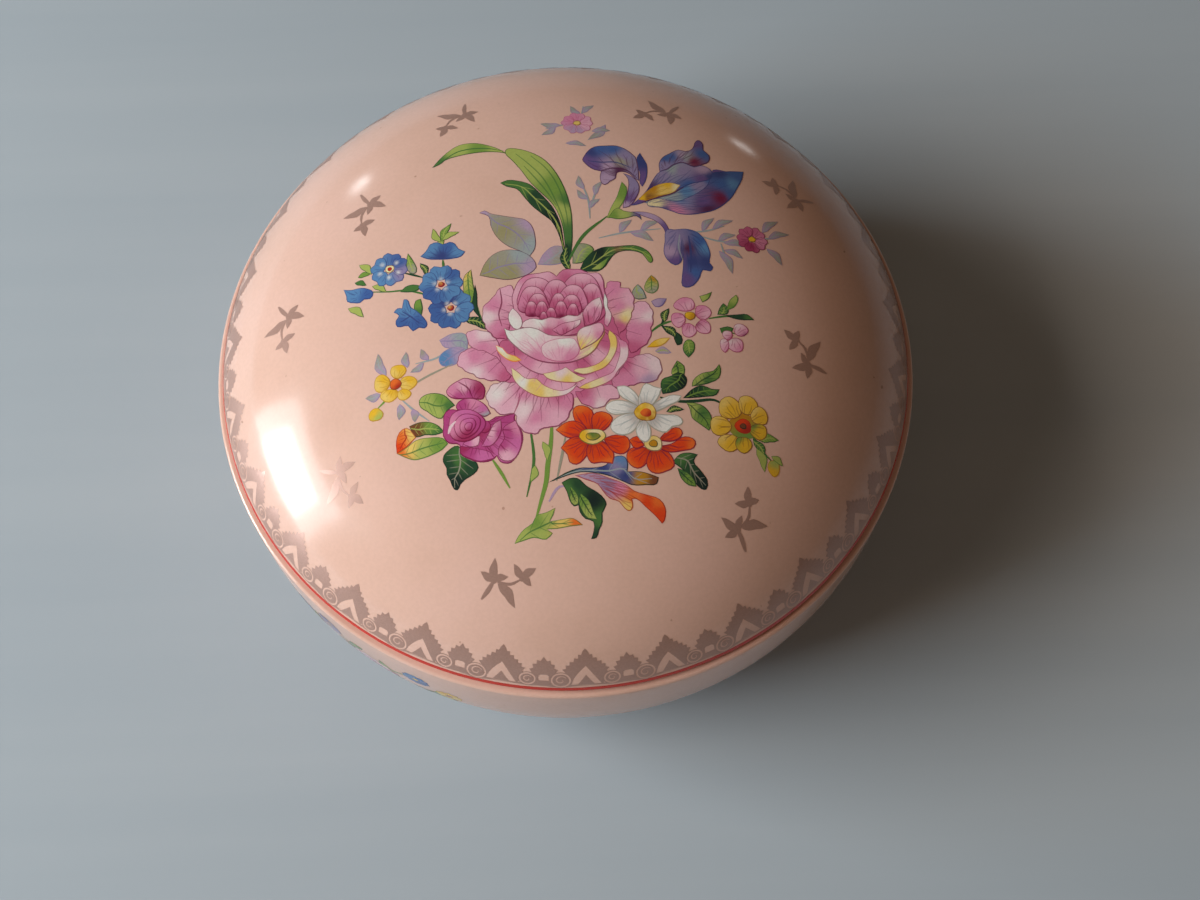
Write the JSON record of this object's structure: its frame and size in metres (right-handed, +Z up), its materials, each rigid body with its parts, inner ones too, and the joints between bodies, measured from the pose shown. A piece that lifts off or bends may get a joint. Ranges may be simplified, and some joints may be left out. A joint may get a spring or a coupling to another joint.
{
  "type": "powder jar",
  "caption": "Round lidded porcelain powder jar: a squat bowl on a foot ring and a domed lift-off lid located by an upright lip, glazed and decorated with flowers.",
  "frame": {"origin": "middle of the foot ring's resting face, on the table", "axes": "+Z up along the jar's axis; -Y is the side that faces a person using it, with +X to their right"},
  "size_m": [0.142, 0.142, 0.0732],
  "materials": {
    "porcelain_bowl": "glossy peach-tinted glaze with printed flower sprays and an unglazed foot ring",
    "porcelain_lid": "glossy peach-tinted glaze with a printed bouquet, a faded gold lace border and a red edge line",
    "flower_print": "many-coloured flower transfers fired into the glaze, glossy",
    "gold_print": "thin gold print, worn to a dull mauve brown",
    "edge_line": "brick-red painted line round the lid's edge"
  },
  "bodies": {
    "bowl": {"jar_bowl": "porcelain_bowl"},
    "lid": {"jar_lid": "porcelain_lid"}
  },
  "joints": [
    {"name": "lid_lift", "type": "slide", "parent": "bowl", "child": "lid", "axis": [0, 0, 1], "range_m": [0, 0.07]}
  ]
}
